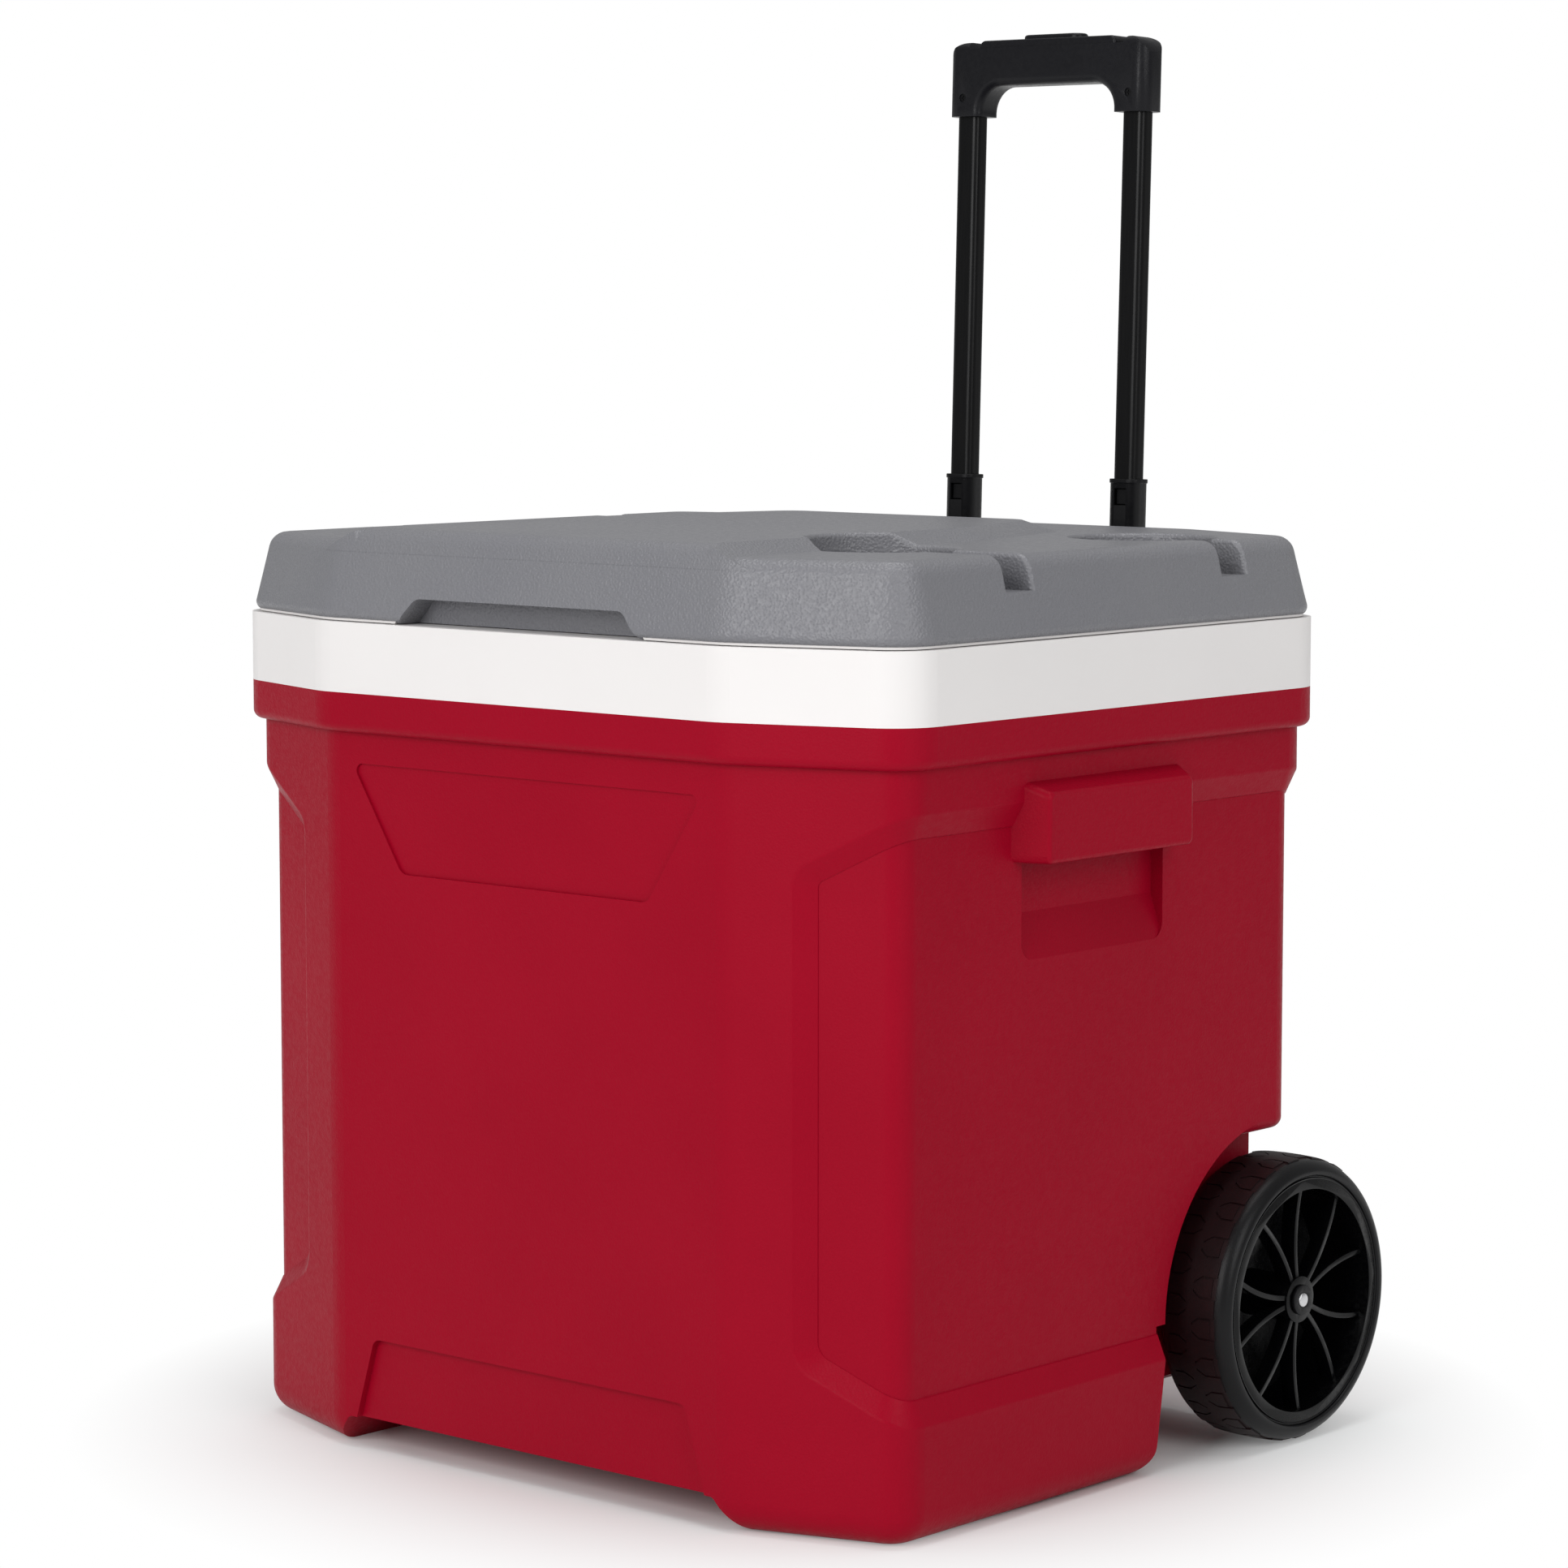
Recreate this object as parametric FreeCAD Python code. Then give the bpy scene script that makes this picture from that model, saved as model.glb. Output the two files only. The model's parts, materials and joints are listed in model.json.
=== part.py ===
import FreeCAD, Part
import math
import os
from FreeCAD import Vector

os.makedirs("parts", exist_ok=True)

# A 60-quart class chest cooler on two rear wheels, with a hinged lid and a two-stage tow handle.
# Millimetres. +X is the cooler's left as it faces you, -Y is its front, +Z is up, the floor is Z = 0.
# Everything is modelled about the middle of the rim. save() then moves it so that the origin is
# the middle of the whole cooler's footprint.

# ---- rim and walls, seen from above ------------------------------------------------------------
rim_half_width = 246.0
rim_half_depth = 212.0
corner_run_x = 100.0            # each corner is cut by a shallow facet this wide ...
corner_run_y = 33.0             # ... and this deep
side_corner_round = 30.0        # where the facet meets the side
front_corner_round = 45.0       # where the facet meets the front or rear
least_corner_round = 9.0
wall_inset = 7.0                # wall behind the rim's edge
recess_depth = 6.5              # the side panels lie this much deeper
skin = 2.6                      # moulded plastic wall
liner_step_foam = 26.0          # foam round the wheels' part of the chest ...
liner_step_roof = 16.0          # ... and over the wheels
cavity_inset = 40.0             # inside of the chest, from the rim's edge

# ---- heights -----------------------------------------------------------------------------------
base_z = 18.0                   # underside between the feet
recess_low_z = base_z + 52.5    # the side panels' outline, where they lie deep
recess_front_x = rim_half_width - 56.3
recess_low_bend_x = recess_front_x + 53.7
recess_high_bend_x = recess_front_x + 48.4
recess_low_rise = 27.4          # how far the lower edge climbs towards the front ...
recess_high_drop = 26.1         # ... and the upper edge falls
recess_low_round = 10.0
recess_high_round = 4.0
recess_bevel = 10.0             # width of the slope round it ...
recess_bevel_depth = 6.2        # ... and its depth
recess_edge_round = 3.0
flange_low_z = 400.0
recess_high_z = flange_low_z - 33.0
flange_high_z = flange_low_z + 22.0
flange_round = 5.0
band_high_z = flange_high_z + 38.5
lid_gap = 0.5
lid_shelf_z = band_high_z + 44.5
lid_panel_z = lid_shelf_z + 6.5
cavity_floor_z = base_z + 37.0
sump_floor_z = base_z + 21.0     # the drain leaves from a small well in the floor

# ---- wheels, axle and the room for them --------------------------------------------------------
axle_y = rim_half_depth - 55.3
axle_radius = 4.0
wheel_radius = 80.0             # the axle is this high
wheel_width = 47.0
wheel_outer_x = rim_half_width + 10.0
tyre_height = 12.0
tyre_shoulder = 7.5
rim_wall = 5.5
hub_radius = 13.0
hub_outer_x = wheel_outer_x - 5.2
axle_half_length = hub_outer_x + 3.0
spoke_pairs = 5
spoke_phase = -18.0             # degrees
spoke_root = 12.0               # degrees to each side of a pair's middle, at the hub
spoke_wall = 2.8
spoke_depth = 9.0
spoke_spread = 7.5              # degrees to each side of a pair's middle, at the rim
web_wall = 3.0
spoke_bend = 2.6                # how late each spoke turns aside
spoke_sink = 1.0                # its face lies behind the hub's
web_inset = 4.0
rim_edge_inset = 1.5
hub_inset = 1.0
arch_radius = wheel_radius + 21.0
arch_ceiling_z = wheel_radius + 94.0
arch_edge_round = 6.0
arch_wall_x = wheel_outer_x - wheel_width - 6.0
arch_under_x = arch_wall_x - 53.0    # the underside climbs from here ...
arch_under_rise = 22.0               # ... by this much to the arch's wall
bush_radius = axle_radius + 4.0
bush_flange = axle_radius + 7.0
bush_length = 16.0
retainer_radius = axle_radius + 4.5
retainer_wall = 2.0
tail_y = rim_half_depth - 39.0   # rear wall below the overhang
overhang_z = arch_ceiling_z + 9.5
overhang_round = 9.0            # above the tail wall
overhang_edge_round = 10.0      # along its lower rear edge

# ---- feet and the arch between them -------------------------------------------------------------
foot_round = 17.0
foot_inner_low_x = rim_half_width - 94.0
foot_inner_high_x = foot_inner_low_x - 16.0
foot_rear_y = axle_y - 109.0
foot_lean = 9.5                 # how far its rear face comes forward ...
foot_lean_z = base_z + 44.0     # ... from this height to the floor
foot_rear_round = base_z
foot_notch_y = foot_rear_y - 90.0
foot_notch_width = 26.0
foot_notch_height = 2.0
arch_panel_low_x = foot_inner_low_x - 16.0
arch_panel_high_x = arch_panel_low_x - 20.0
arch_panel_high_z = base_z + 46.0
arch_panel_depth = 4.0
arch_panel_round = 6.0
arch_round = 5.0
foot_wall = 4.6
foot_taper = 4.0

# ---- front panel ---------------------------------------------------------------------------------
badge_high_z = flange_low_z - 17.0
badge_low_z = badge_high_z - 58.5
badge_high_half_width = rim_half_width - 117.0
badge_low_half_width = badge_high_half_width - 38.0
badge_depth = 1.5
badge_low_round = 8.0
badge_high_round = 4.0

# ---- moulded carry handles on the sides ----------------------------------------------------------
carry_y = -11.0
carry_half_width = 62.0
carry_proud = 19.5              # outer face of the grip, from the side panel
carry_high_z = flange_low_z - 18.0
carry_low_z = carry_high_z - 37.0
carry_side_flare = 9.0
carry_top_flare = 9.0
carry_lip = 6.0
carry_corner_round = 4.0
carry_edge_round = 2.5
scoop_half_width = 61.0
scoop_low_z = carry_low_z - 52.0
scoop_floor_z = carry_low_z - 28.0
scoop_high_z = carry_low_z + 24.0
scoop_depth = 8.0
scoop_round = 9.0

# ---- lid ------------------------------------------------------------------------------------------
lid_low_inset = 0.8
lid_lean = 11.0                 # how far the lid's sides come in over its height
lid_top_round = 10.5
lid_low_round = 5.0
panel_front_half_width = rim_half_width - 117.5
panel_bend_half_width = panel_front_half_width - 8.5
panel_rear_half_width = panel_bend_half_width - 32.0
panel_bend_y = rim_half_depth - 192.0
panel_rear_y = rim_half_depth - 98.0
panel_slope = 14.0              # how far its edge spreads on its way down to the shelf
panel_bend_round = 60.0
panel_rear_round = 16.0
cup_radius = 40.0
cup_rim_round = 2.5
cup_floor_z = lid_shelf_z - 19.0
front_cup = (rim_half_width - 100.0, 130.0 - rim_half_depth)
rear_cup = (rim_half_width - 70.0, rim_half_depth - 107.0)
cup_notch_width = 21.0
pull_low_half_width = 90.0
pull_high_half_width = pull_low_half_width - 14.0
pull_height = 14.0
pull_depth = 20.0
pull_round = 8.0
plug_inset = 42.5
plug_depth = 13.5

# ---- lid hinges -----------------------------------------------------------------------------------
hinge_x = 105.0
hinge_knuckle = 5.0
hinge_y = rim_half_depth - hinge_knuckle
hinge_z = band_high_z + 33.5
hinge_pin_radius = 2.0
hinge_half_width = 17.0
lug_half_width = 7.0
hinge_play = 1.5
hinge_plate_wall = 3.5
hinge_plate_low_z = band_high_z - 32.5
hinge_plate_high_z = band_high_z - 4.5
hinge_plate_round = 1.2
hinge_arm_root = 12.0
hinge_screw_drop = 5.0
hinge_screw_spacing = 20.0
hinge_pin_head = 3.2
hinge_pin_head_wall = 1.2

# ---- tow handle: two telescoping stages that lean back -----------------------------------------
post_x = 62.0
post_y = rim_half_depth + 30.0   # the posts' middle at post_z
post_z = lid_panel_z + 0.5
post_lean = 1.75                # degrees
upper_tube = (16.3, 12.3)       # width, depth
tube_corner = 4.3
upper_wall = 1.1
middle_wall = 0.9
sleeve_wall = 1.1
collar_wall = 0.9
slide_gap = 0.3                 # round each telescoping tube
collar_high = 18.0              # heights along the posts, from post_z
collar_low = -22.0
lip_height = 2.5
lip_reach = 0.6
window_width = 8.6
window_height = 10.0
window_low = 3.0
window_skin = 0.5               # the window stops this far short of the tube's middle
lip_round = 0.5
upper_travel = 212.0
middle_travel = 100.0
upper_tube_low = -25.0
end_plug = 6.0
end_play = 4.0

# ---- tow grip -------------------------------------------------------------------------------------
grip_low = 232.0
grip_bar_low = 249.5
grip_seat = 272.0               # the top cover sits in the bar here
grip_floor_wall = 5.5           # under the channel that the yoke moves in
grip_socket_depth = 19.5
grip_roof_wall = 1.5
grip_top = 276.0
grip_leg_width = 24.4
grip_depth = 21.0
grip_shoulder_round = 14.0
grip_throat_round = 15.5
grip_round = 5.0
grip_leg_round = 8.0
grip_screw_rise = 11.0          # above the grip's lower end
grip_screw_head = 2.4
grip_screw_sink = 0.8
grip_screw_shank = 1.2
cover_half_length = post_x - 11.0
notch_width = 6.0
button_half_length = 22.0
button_depth = 13.0
button_proud = 2.6
button_travel = 5.0
button_round = 1.6
stem_half = 15.0
spring_folds = 4
spring_radius = 2.9
spring_fold_depth = 0.8
spring_wall = 0.5
spring_play = 0.05
cover_rise = 0.6
cover_end_round = 4.0
cover_round = 1.5
notch_slope = 1.5
cross_length = 3.0
cross_width = 0.7
grip_screw_crown = 1.4
yoke_height = 5.0
yoke_depth = 8.0
yoke_reach = 4.0
rod_radius = 1.5
rod_back = 2.5
tongue_thickness = 4.0

# ---- brackets that hold the sleeves -------------------------------------------------------------
bracket_height = 26.0
upper_bracket_z = flange_low_z - 38.0
lower_bracket_z = overhang_z + overhang_edge_round + 2.0
bracket_wall = 3.5
bracket_margin = 20.0
bracket_round = 6.0
bracket_rib_depth = 14.0
bracket_rib_half = 3.0
bracket_screw_x = 30.0
bracket_screw_edge = 5.5

# ---- drain ------------------------------------------------------------------------------------------
drain_x = arch_wall_x - 83.0
sump_half_width = 15.0
sump_length = 40.0
sump_round = 5.0
drain_bore = 6.0
drain_tube = 8.0
drain_flange = 15.0
drain_flange_wall = 3.5
drain_nut_wall = 3.5
drain_nut_rim = 4.0
drain_nut_flat = 1.8             # from the tube down to the floor
drain_stem = 22.0
drain_knob = 9.0
drain_knob_base = 2.5
drain_wing_half = 4.0
drain_lip_round = 1.0
drain_knob_round = 2.0

# ---- small clearances and fasteners ---------------------------------------------------------------
foam_gap = 0.2
running_gap = 0.05
face_gap = 0.3
screw_head = 4.0
screw_shank = 2.0
screw_crown = 2.2
screw_tip = 2.5
screw_slot = 1.0
screw_slot_depth = 1.2
screw_round = 1.0
sharp = 0.1                     # stands for a sharp corner where a wire takes a radius
far = 400.0

wall_x = rim_half_width - wall_inset
wall_y = rim_half_depth - wall_inset
recess_x = wall_x - recess_depth
carry_reach_x = recess_x + carry_proud
lid_low_z = band_high_z + lid_gap
lid_slope = lid_lean / (lid_shelf_z - lid_low_z)
drain_z = sump_floor_z + drain_tube + drain_nut_flat
drain_inner_y = tail_y - liner_step_foam
drain_lip_y = tail_y + drain_flange_wall


# ---- helpers ------------------------------------------------------------------------------------
def box(x0, x1, y0, y1, z0, z1):
    return Part.makeBox(x1 - x0, y1 - y0, z1 - z0, Vector(x0, y0, z0))


def rod(start, end, radius):
    line = end - start
    return Part.makeCylinder(radius, line.Length, start, line)


def rounded_wire(corners, rounds):
    """A closed wire through the corners, each cut back to a tangent arc of its own radius."""
    edges = []
    ends = []
    count = len(corners)
    for i in range(count):
        corner = corners[i]
        back = (corners[i - 1] - corner).normalize()
        ahead = (corners[(i + 1) % count] - corner).normalize()
        half_angle = back.getAngle(ahead) / 2.0
        reach = rounds[i] / math.tan(half_angle)
        middle = (back + ahead).normalize()
        apex = corner + middle * (rounds[i] / math.sin(half_angle) - rounds[i])
        ends.append((corner + back * reach, apex, corner + ahead * reach))
    for i in range(count):
        arc_start, apex, arc_end = ends[i]
        if (arc_end - arc_start).Length > 1e-6:
            edges.append(Part.Arc(arc_start, apex, arc_end).toShape())
        edges.append(Part.LineSegment(arc_end, ends[(i + 1) % count][0]).toShape())
    return Part.Wire(edges)


def plan_wire(inset, z):
    """The cooler's outline seen from above, moved in by inset."""
    facet_turn = math.atan2(corner_run_y, corner_run_x)
    front_x = rim_half_width - corner_run_x - inset * math.tan(facet_turn / 2.0)
    side_y = rim_half_depth - corner_run_y - inset * math.tan(math.pi / 4.0 - facet_turn / 2.0)
    x = rim_half_width - inset
    y = rim_half_depth - inset
    quarter = ((front_x, -y), (x, -side_y), (x, side_y), (front_x, y))
    other = [(-px, py) for px, py in reversed(quarter)]
    corners = [Vector(px, py, z) for px, py in list(quarter) + other]
    side_round = max(side_corner_round - inset, least_corner_round)
    front_round = max(front_corner_round - inset, least_corner_round)
    rounds = [front_round, side_round, side_round, front_round] * 2
    return rounded_wire(corners, rounds)


def plan_prism(inset, z0, z1):
    return Part.Face(plan_wire(inset, z0)).extrude(Vector(0, 0, z1 - z0))


def plan_loft(inset0, z0, inset1, z1):
    return Part.makeLoft([plan_wire(inset0, z0), plan_wire(inset1, z1)], True, True)


def front_slab(points, rounds, y0, y1):
    """A shape drawn in the front view, x against z, and carried from y0 to y1."""
    wire = rounded_wire([Vector(x, y0, z) for x, z in points], rounds)
    return Part.Face(wire).extrude(Vector(0, y1 - y0, 0))


def side_slab(points, rounds, x0, x1):
    """A shape drawn in the side view, y against z, and carried from x0 to x1."""
    wire = rounded_wire([Vector(x0, y, z) for y, z in points], rounds)
    return Part.Face(wire).extrude(Vector(x1 - x0, 0, 0))


def block_wire(width, depth, corner, z):
    w = width / 2.0
    d = depth / 2.0
    corners = [Vector(-w, -d, z), Vector(w, -d, z), Vector(w, d, z), Vector(-w, d, z)]
    return rounded_wire(corners, [corner] * 4)


def block(width, depth, corner, z0, z1):
    """An upright bar of rounded rectangular section, about the Z axis."""
    return Part.Face(block_wire(width, depth, corner, z0)).extrude(Vector(0, 0, z1 - z0))


def mirrored(shape):
    return shape.mirror(Vector(0, 0, 0), Vector(1, 0, 0))


def pair(shape):
    return [shape, mirrored(shape)]


def edges_where(shape, test):
    return [edge for edge in shape.Edges if test(edge.BoundBox, edge)]


def joined(first, *others):
    shape = first.multiFuse(list(others)) if others else first
    return shape.removeSplitter()


# Pieces of the tow handle are drawn about their post's axis, with heights along it, and then leaned.
def on_post(shape, side=0):
    placed = shape.copy()
    placed.translate(Vector(side * post_x, 0, 0))
    placed.rotate(Vector(0, 0, 0), Vector(1, 0, 0), -post_lean)
    placed.translate(Vector(0, post_y, post_z))
    return placed


lean = math.radians(post_lean)
grip_half_width = post_x + grip_leg_width / 2.0
grip_head = Vector(0, grip_depth / 2.0, grip_top)
front_reach = rim_half_depth
rear_reach = post_y + grip_head.y * math.cos(lean) + grip_head.z * math.sin(lean)
origin_shift = Vector(0, (front_reach - rear_reach) / 2.0, 0)


def save(node, *solids):
    shape = solids[0] if len(solids) == 1 else Part.makeCompound(list(solids))
    shape = shape.copy()
    shape.translate(origin_shift)
    shape.exportStep("parts/" + node + ".step")


# ---- chest ------------------------------------------------------------------------------------------
def wheel_room(extra):
    """What each wheel arch takes out of a wall that is extra thick, both sides."""
    x0 = arch_wall_x - extra
    radius = arch_radius + extra
    rear_y = foot_rear_y - extra
    drum = rod(Vector(x0, axle_y, wheel_radius), Vector(far, axle_y, wheel_radius), radius)
    drum = drum.common(box(0, far, -far, far, -far, arch_ceiling_z + extra))
    behind = box(x0, far, axle_y, far, -far, arch_ceiling_z + extra)
    points = (
        (rear_y, foot_lean_z),
        (rear_y - foot_lean, 0),
        (rear_y - foot_lean, -far),
        (far, -far),
        (far, wheel_radius),
        (rear_y, wheel_radius),
    )
    below = side_slab(points, (sharp,) * 6, 0, far)
    climb = arch_under_rise / (arch_wall_x - arch_under_x)
    low_z = base_z - arch_under_x * climb + extra * math.hypot(1.0, climb)
    points = ((-1.0, low_z - climb), (x0, low_z + x0 * climb), (x0, far), (-1.0, far))
    under = front_slab(points, (sharp,) * 4, -far, far)
    return pair(joined(drum, behind, below.cut(under)))


def tail_room(extra):
    corner = (tail_y - extra, overhang_z + extra)
    points = ((corner[0], -far), (far, -far), (far, corner[1]), corner)
    return side_slab(points, (0.1, 0.1, 0.1, overhang_round), -far, far)


def overhang_corner():
    """What rounds the lower rear edge of the overhang."""
    y = wall_y - overhang_edge_round
    z = overhang_z + overhang_edge_round
    corner = box(-far, far, y, far, overhang_z - 1.0, z)
    return corner.cut(rod(Vector(-far, y, z), Vector(far, y, z), overhang_edge_round))


def carry_block():
    """The grip that stands out of the side wall, wider at its root."""
    root = carry_half_width + carry_side_flare
    faces = []
    for x, half, high in (
        (recess_x - skin, root, carry_high_z + carry_top_flare),
        (carry_reach_x, carry_half_width, carry_high_z),
    ):
        points = ((-half, carry_low_z), (half, carry_low_z), (half, high), (-half, high))
        corners = [Vector(x, carry_y + y, z) for y, z in points]
        faces.append(rounded_wire(corners, [carry_corner_round] * 4))
    shape = Part.makeLoft(faces, True, True)
    return shape.makeFillet(carry_edge_round, edges_where(shape, lambda b, e: b.XMin > carry_reach_x - 0.1))


def scoop(extra):
    """Finger room below and behind the carry grip, grown by extra."""
    back_x = recess_x - scoop_depth - extra
    inner_x = carry_reach_x - carry_lip
    half = scoop_half_width + extra
    open_x = recess_x + far
    low_z = scoop_low_z - extra
    points = ((-half, low_z), (half, low_z), (half, carry_low_z), (-half, carry_low_z))
    points = [(carry_y + y, z) for y, z in points]
    low = side_slab(points, (scoop_round, scoop_round, sharp, sharp), back_x, open_x)
    ramp_points = (
        (back_x, scoop_low_z - extra - 1.0),
        (recess_x, scoop_low_z - extra - 1.0),
        (recess_x, scoop_low_z - extra),
        (back_x, scoop_floor_z - extra),
    )
    wire = Part.makePolygon([Vector(x, carry_y - half, z) for x, z in ramp_points + ramp_points[:1]])
    ramp = Part.Face(wire).extrude(Vector(0, 2.0 * half, 0))
    behind_x = inner_x if extra == 0 else recess_x
    high = box(back_x, behind_x, carry_y - half, carry_y + half, carry_low_z - 1.0, scoop_high_z + extra)
    return joined(low, high).cut(ramp)


def panel_outline(wall):
    """The edges that bound the side panels on the wall's face."""
    around = plan_wire(wall_inset, 0)
    low = recess_low_z - recess_bevel - 1.0
    high = recess_high_z + recess_bevel + 1.0

    def on_face(bounds, edge):
        if bounds.ZMin < low or bounds.ZMax > high:
            return False
        feet = [Part.Vertex(Vector(point.x, point.y, 0)) for point in edge.discretize(3)]
        beyond = abs(edge.CenterOfMass.x) > recess_front_x - recess_bevel - 1.0
        return beyond and all(around.distToShape(foot)[0] < 0.02 for foot in feet)

    return edges_where(wall, on_face)


def arch_mouth(shell):
    """Where the outside of the wall meets the wheel arches' ceilings."""
    outside = [plan_wire(wall_inset, 0), plan_wire(wall_inset + recess_depth, 0)]

    def on_mouth(bounds, edge):
        if abs(bounds.ZMin - arch_ceiling_z) > 0.1 or bounds.ZLength > 0.1:
            return False
        feet = [Part.Vertex(Vector(point.x, point.y, 0)) for point in edge.discretize(3)]
        return all(min(wire.distToShape(foot)[0] for wire in outside) < 0.02 for foot in feet)

    return edges_where(shell, on_mouth)


def shell_outside():
    wall = plan_prism(wall_inset, 0, flange_low_z)
    wall = wall.makeFillet(foot_round, edges_where(wall, lambda b, e: b.ZMax < 0.1))
    flange = plan_prism(0, flange_low_z, flange_high_z)
    flange = flange.makeFillet(flange_round, edges_where(flange, lambda b, e: b.ZMax < flange_low_z + 0.1))
    deep = plan_prism(wall_inset + recess_depth, -far, far)
    points = (
        (recess_front_x, recess_low_z + recess_low_rise),
        (recess_low_bend_x, recess_low_z),
        (far, recess_low_z),
        (far, recess_high_z),
        (recess_high_bend_x, recess_high_z),
        (recess_front_x, recess_high_z - recess_high_drop),
    )
    rounds = (recess_low_round, recess_low_round, sharp, sharp, recess_high_round, recess_high_round)
    panel = front_slab(points, rounds, -far, far).cut(deep)
    wall = wall.cut(pair(panel))
    wall = wall.makeChamfer(recess_bevel, recess_bevel_depth, panel_outline(wall))
    wall = wall.makeFillet(recess_edge_round, panel_outline(wall))
    return wall.fuse(flange)


def shell_inside():
    """The hollow of the chest's outer shell, open at the top."""
    low = base_z + skin
    hollow = plan_prism(wall_inset + recess_depth + skin, low, flange_high_z + 1.0)
    collar = plan_prism(skin, flange_low_z + skin, flange_high_z + 1.0)
    foot_inset = wall_inset + recess_depth + skin + foot_taper
    feet = plan_prism(foot_inset, foot_wall, low + 1.0)
    inner_x = foot_inner_low_x + skin
    front_feet = feet.common(box(inner_x, far, -far, foot_rear_y - foot_rear_round, 0, far))
    hollow = joined(hollow, collar, *pair(front_feet))
    for room in wheel_room(skin) + [tail_room(skin)] + pair(scoop(skin)):
        hollow = hollow.cut(room)
    return hollow


def body_shell():
    shell = shell_outside()
    shell = shell.fuse(pair(carry_block()))
    shell = shell.cut(wheel_room(0) + [tail_room(0)])
    shell = shell.makeFillet(arch_edge_round, arch_mouth(shell))
    shell = shell.cut(overhang_corner())
    panel_back_y = arch_panel_depth - wall_y
    for low, high, top, rounding, back_y in (
        (foot_inner_low_x, foot_inner_high_x, base_z, arch_round, far),
        (arch_panel_low_x, arch_panel_high_x, arch_panel_high_z, arch_panel_round, panel_back_y),
    ):
        points = ((-low, -1.0), (low, -1.0), (high, top), (-high, top))
        shell = shell.cut(front_slab(points, (sharp, sharp, rounding, rounding), -far, back_y))
    points = (
        (-badge_low_half_width, badge_low_z),
        (badge_low_half_width, badge_low_z),
        (badge_high_half_width, badge_high_z),
        (-badge_high_half_width, badge_high_z),
    )
    rounds = (badge_low_round, badge_low_round, badge_high_round, badge_high_round)
    shell = shell.cut(front_slab(points, rounds, -far, badge_depth - wall_y))
    heel_y = foot_rear_y - foot_lean * (1.0 - foot_rear_round / foot_lean_z) - foot_rear_round
    heel = rod(Vector(-far, heel_y, foot_rear_round), Vector(far, heel_y, foot_rear_round), foot_rear_round)
    shell = shell.cut(box(-far, far, heel_y, far, -1.0, base_z).cut(heel))
    notch_end = foot_notch_y + foot_notch_width
    notch = box(foot_inner_low_x - 1.0, far, foot_notch_y, notch_end, -1.0, foot_notch_height)
    shell = shell.cut(pair(notch))
    shell = shell.cut(pair(scoop(0)))
    shell = shell.cut(shell_inside())
    axle_end = Vector(far, axle_y, wheel_radius)
    shell = shell.cut(pair(rod(Vector(0, axle_y, wheel_radius), axle_end, bush_radius)))
    shell = shell.cut(drain_line(drain_inner_y, far, drain_tube))
    for place in bracket_screw_places(upper_bracket_z) + bracket_screw_places(lower_bracket_z):
        shell = shell.cut(rod(place - Vector(0, skin, 0), place, screw_shank))
    return shell.removeSplitter()


def liner_form(extra):
    """The inside of the chest, grown by extra: full size above, stepped in for the wheels below."""
    inset = cavity_inset - extra
    floor_z = cavity_floor_z - extra
    step_z = arch_ceiling_z + skin + liner_step_roof - extra
    upper = plan_prism(inset, step_z, band_high_z + 1.0)
    lower = plan_prism(inset, floor_z, step_z + 1.0)
    front_y = axle_y - arch_radius - liner_step_foam + extra
    half = arch_wall_x - liner_step_foam + extra
    rear_y = tail_y - liner_step_foam + extra
    keep = box(-far, far, -far, front_y, -far, far).fuse(box(-half, half, -far, rear_y, -far, far))
    half = sump_half_width + extra
    reach = 2.0 * (sump_length + extra)
    sump = block(2.0 * half, reach, sump_round + extra, sump_floor_z - extra, cavity_floor_z + 1.0)
    sump.translate(Vector(drain_x, rear_y - extra, 0))
    sump = sump.common(box(-far, far, -far, rear_y, -far, far))
    return joined(upper, lower.common(keep), sump)


def body_liner():
    band = plan_prism(0, flange_high_z, band_high_z)
    hollow = plan_prism(skin, flange_high_z - 1.0, band_high_z - skin)
    outer = liner_form(skin).common(box(-far, far, -far, far, -far, band_high_z))
    liner = joined(band.cut(hollow), outer).cut(liner_form(0))
    for place in hinge_screw_places():
        liner = liner.cut(pair(rod(place - Vector(0, skin, 0), place, screw_shank)))
    return liner.cut(drain_line(drain_inner_y - 1.0, far, drain_tube))


def body_foam():
    """Fills what the shell and the liner leave."""
    inset = wall_inset + recess_depth + skin + foam_gap
    low = base_z + skin + foam_gap
    foam = plan_prism(inset, low, flange_high_z)
    top = plan_prism(skin + foam_gap, flange_low_z + skin + foam_gap, band_high_z - skin - foam_gap)
    foam = joined(foam, top)
    for room in wheel_room(skin + foam_gap) + [tail_room(skin + foam_gap)] + pair(scoop(skin + foam_gap)):
        foam = foam.cut(room)
    foam = foam.cut(liner_form(skin + foam_gap))
    line = (Vector(-far, axle_y, wheel_radius), Vector(far, axle_y, wheel_radius))
    foam = foam.cut(rod(line[0], line[1], axle_radius + foam_gap))
    bush_end = Vector(arch_wall_x - bush_length - foam_gap, axle_y, wheel_radius)
    foam = foam.cut(pair(rod(bush_end, line[1], bush_radius + foam_gap)))
    foam = foam.cut(drain_line(drain_inner_y - 1.0, far, drain_tube + foam_gap))
    return foam.removeSplitter()


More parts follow.
